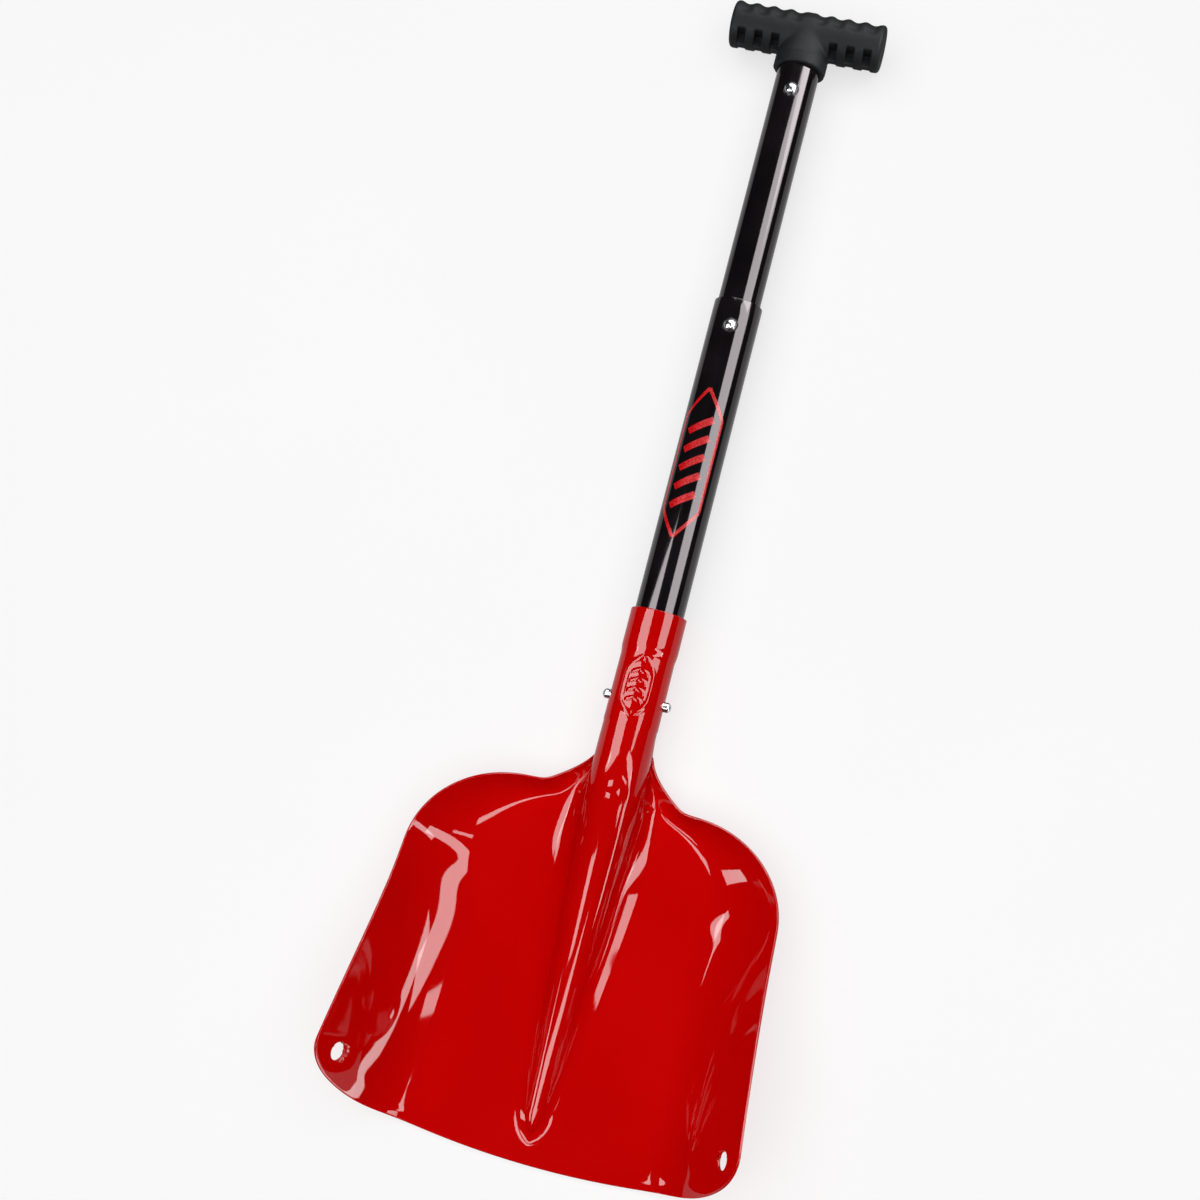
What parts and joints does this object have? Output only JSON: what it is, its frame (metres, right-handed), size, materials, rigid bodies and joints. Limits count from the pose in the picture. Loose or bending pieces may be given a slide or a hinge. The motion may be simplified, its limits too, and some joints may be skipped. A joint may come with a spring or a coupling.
{
  "type": "avalanche shovel",
  "caption": "Scoop-bladed snow shovel with a one-piece stamped blade and socket, a two-section telescoping shaft with snap buttons, and a T-grip.",
  "frame": {"origin": "on the shaft's axis, at the mouth of the blade's socket", "axes": "+Y along the shaft towards the grip, +Z out of the scoop side, +X across the blade"},
  "size_m": [0.2644, 0.7715, 0.0682],
  "materials": {
    "red_coated_aluminium": "gloss red powder coat",
    "black_anodised_aluminium": "satin black anodising",
    "grip_plastic": "matte, fine moulded grain",
    "dark_plastic": "satin moulded",
    "bright_steel": "polished",
    "spring_steel": "blued strip"
  },
  "bodies": {
    "blade": {"blade": "red_coated_aluminium"},
    "lower_shaft": {"lower_shaft": "black_anodised_aluminium", "lower_shaft_plug": "dark_plastic", "blade_spring": "spring_steel"},
    "blade_button_left": {"blade_button_left": "bright_steel"},
    "blade_button_right": {"blade_button_right": "bright_steel"},
    "upper_shaft": {"upper_shaft": "black_anodised_aluminium", "upper_shaft_bush": "dark_plastic", "grip": "grip_plastic", "grip_rivet": "bright_steel", "stow_spring": "spring_steel"},
    "stow_button": {"stow_button": "bright_steel"},
    "extension_clip": {"extension_spring": "spring_steel"},
    "extension_button": {"extension_button": "bright_steel"}
  },
  "joints": [
    {"name": "blade_release", "type": "slide", "parent": "blade", "child": "lower_shaft", "axis": [0, 1, 0], "range_m": [0, 0.1], "deforming": ["blade_button_left", "blade_button_right", "blade_spring"]},
    {"name": "blade_button_left_press", "type": "slide", "parent": "lower_shaft", "child": "blade_button_left", "axis": [1, 0, 0], "range_m": [0, 0.0065], "stiffness_N_per_m": 1500},
    {"name": "blade_button_right_press", "type": "slide", "parent": "lower_shaft", "child": "blade_button_right", "axis": [-1, 0, 0], "range_m": [0, 0.0065], "stiffness_N_per_m": 1500},
    {"name": "telescope", "type": "slide", "parent": "lower_shaft", "child": "upper_shaft", "axis": [0, -1, 0], "range_m": [0, 0.166], "deforming": ["extension_button", "extension_spring", "stow_button", "stow_spring"]},
    {"name": "stow_button_press", "type": "slide", "parent": "upper_shaft", "child": "stow_button", "axis": [0, 0, -1], "range_m": [0, 0.0045], "stiffness_N_per_m": 1500},
    {"name": "extension_clip_flex", "type": "slide", "parent": "upper_shaft", "child": "extension_clip", "axis": [0, 0, -1], "range_m": [0, 0.0045]},
    {"name": "extension_button_press", "type": "slide", "parent": "extension_clip", "child": "extension_button", "axis": [0, 0, -1], "range_m": [0, 0.0045], "stiffness_N_per_m": 1500}
  ],
  "couplings": [
    {"joint": "extension_clip_flex", "follows": "telescope", "ratio": 0.0271}
  ]
}
